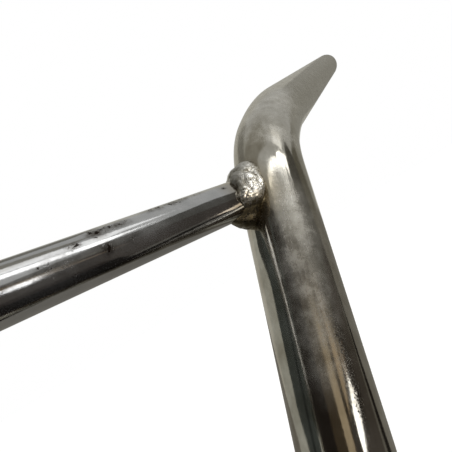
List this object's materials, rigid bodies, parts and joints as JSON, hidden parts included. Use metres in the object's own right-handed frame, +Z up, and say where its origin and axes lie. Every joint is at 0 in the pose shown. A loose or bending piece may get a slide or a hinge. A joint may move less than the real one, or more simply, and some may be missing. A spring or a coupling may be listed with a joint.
{
  "type": "dirt bike handlebar",
  "caption": "Bent steel handlebar tube with a thinner crossbar coped and welded between its rises, for an off-road motorcycle.",
  "frame": {"origin": "middle of the straight clamp section, on the tube's axis", "axes": "+X to the right along the clamp section, +Y rearwards to the rider, +Z up, with both rises in the XZ plane"},
  "size_m": [0.8048, 0.0934, 0.2315],
  "materials": {
    "worn_chrome_tube": "worn chrome plating, bright on the rises and hazy grey-beige on the bends and grips",
    "worn_chrome_crossbar": "worn chrome plating with dark pits and fine scratches along its top",
    "plated_weld": "lumpy weld metal, plated over, with ripples and dark pits"
  },
  "bodies": {
    "root": {"main_tube": "worn_chrome_tube", "crossbar_tube": "worn_chrome_crossbar", "weld_beads": "plated_weld"}
  },
  "joints": []
}
